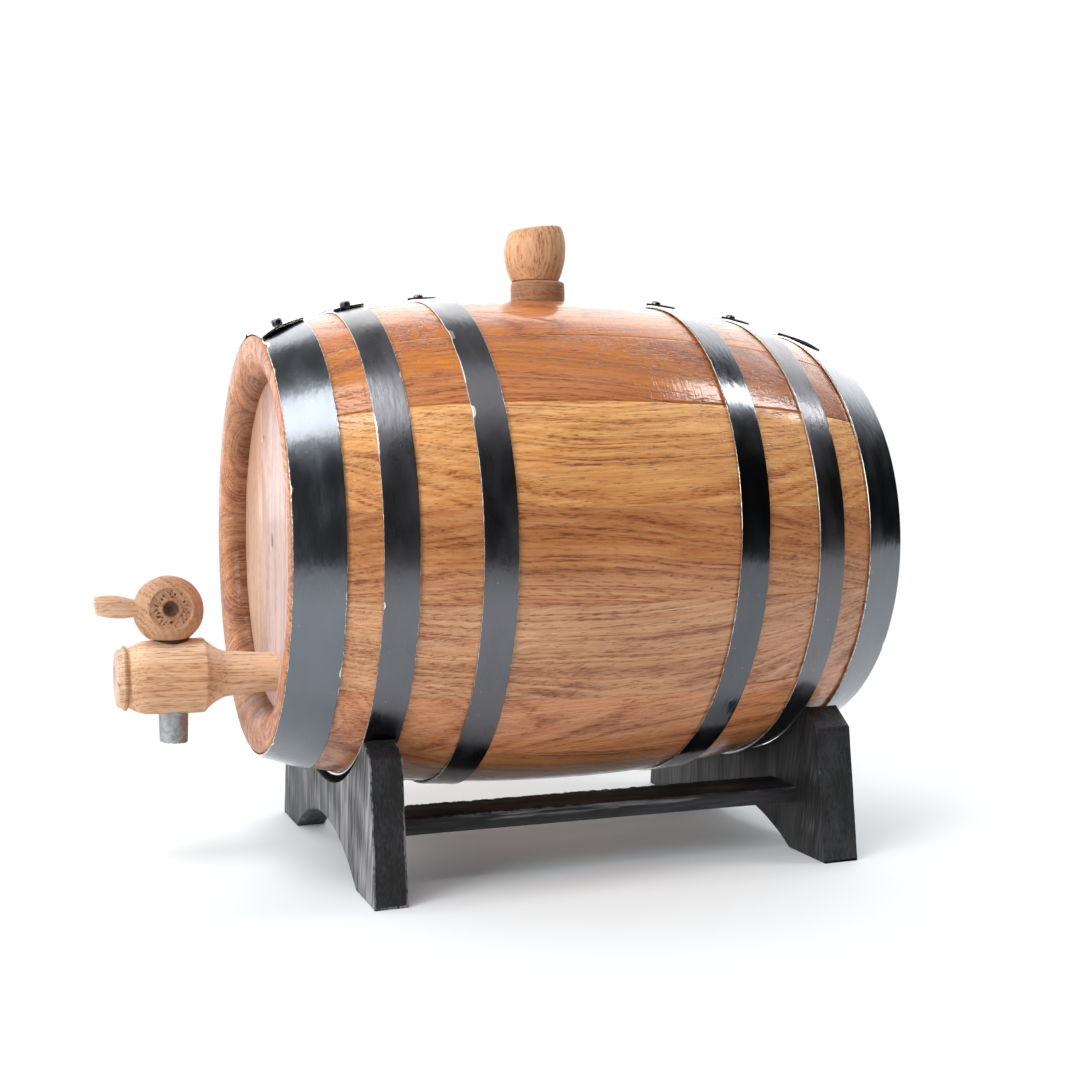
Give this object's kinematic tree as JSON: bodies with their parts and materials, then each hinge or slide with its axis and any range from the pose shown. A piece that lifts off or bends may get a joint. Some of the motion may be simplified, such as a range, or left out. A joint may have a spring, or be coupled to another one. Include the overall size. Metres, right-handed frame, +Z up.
{
  "type": "oak cask liquor dispenser",
  "caption": "Small oak cask lying on a black two-board stand, bound with black steel hoops, with a wooden bung on top and a turned wooden spigot in its front head.",
  "frame": {"origin": "on the floor, under the middle of the bounding box of the whole object", "axes": "+Z up; the cask's axis lies along X with the spigot end towards -X, so +X points from the spigot end to the rear head; +Y is towards the far side of the cask when the spigot is on the left"},
  "size_m": [0.2984, 0.1952, 0.2523],
  "materials": {
    "stave_oak": "varnished oak, glossy, in golden and red-brown staves",
    "head_oak": "varnished oak, satin",
    "hoop_steel": "black lacquered steel strap, satin to glossy",
    "rivet_steel": "black steel, worn on the crown",
    "turned_oak": "turned wood, left bare and matte",
    "collar_oak": "turned wood, varnished with the cask",
    "key_tube": "dull grey metal tube with a mottled skin",
    "stand_black": "board stained and lacquered black, satin"
  },
  "bodies": {
    "stand": {"cradle_front": "stand_black", "cradle_rear": "stand_black", "rail_near": "stand_black", "rail_far": "stand_black"},
    "cask": {"stave_01": "stave_oak", "stave_02": "stave_oak", "stave_03": "stave_oak", "stave_04": "stave_oak", "stave_05": "stave_oak", "stave_06": "stave_oak", "stave_07": "stave_oak", "stave_08": "stave_oak", "stave_09": "stave_oak", "stave_10": "stave_oak", "stave_11": "stave_oak", "stave_12": "stave_oak", "stave_13": "stave_oak", "stave_14": "stave_oak", "stave_15": "stave_oak", "stave_16": "stave_oak", "head_front_near": "head_oak", "head_front_middle": "head_oak", "head_front_far": "head_oak", "head_rear_near": "head_oak", "head_rear_middle": "head_oak", "head_rear_far": "head_oak", "hoop_front_head": "hoop_steel", "hoop_front_quarter": "hoop_steel", "hoop_front_bilge": "hoop_steel", "hoop_rear_bilge": "hoop_steel", "hoop_rear_quarter": "hoop_steel", "hoop_rear_head": "hoop_steel", "rivet_front_head": "rivet_steel", "rivet_front_quarter": "rivet_steel", "rivet_front_bilge": "rivet_steel", "rivet_rear_bilge": "rivet_steel", "rivet_rear_quarter": "rivet_steel", "rivet_rear_head": "rivet_steel", "bung_collar": "collar_oak", "spigot_body": "turned_oak"},
    "bung": {"bung": "turned_oak"},
    "spigot_key": {"spigot_key_plug": "key_tube", "spigot_key_knob": "turned_oak", "spigot_key_peg": "turned_oak"}
  },
  "joints": [
    {"name": "cask_lift", "type": "slide", "parent": "stand", "child": "cask", "axis": [0, 0, 1], "range_m": [0, 0.08]},
    {"name": "bung_pull", "type": "slide", "parent": "cask", "child": "bung", "axis": [0, 0, 1], "range_m": [0, 0.045]},
    {"name": "key_turn", "type": "hinge", "parent": "cask", "child": "spigot_key", "pos_m": [-0.12051, 0, 0.0744], "axis": [0, 0, 1], "continuous": true}
  ]
}
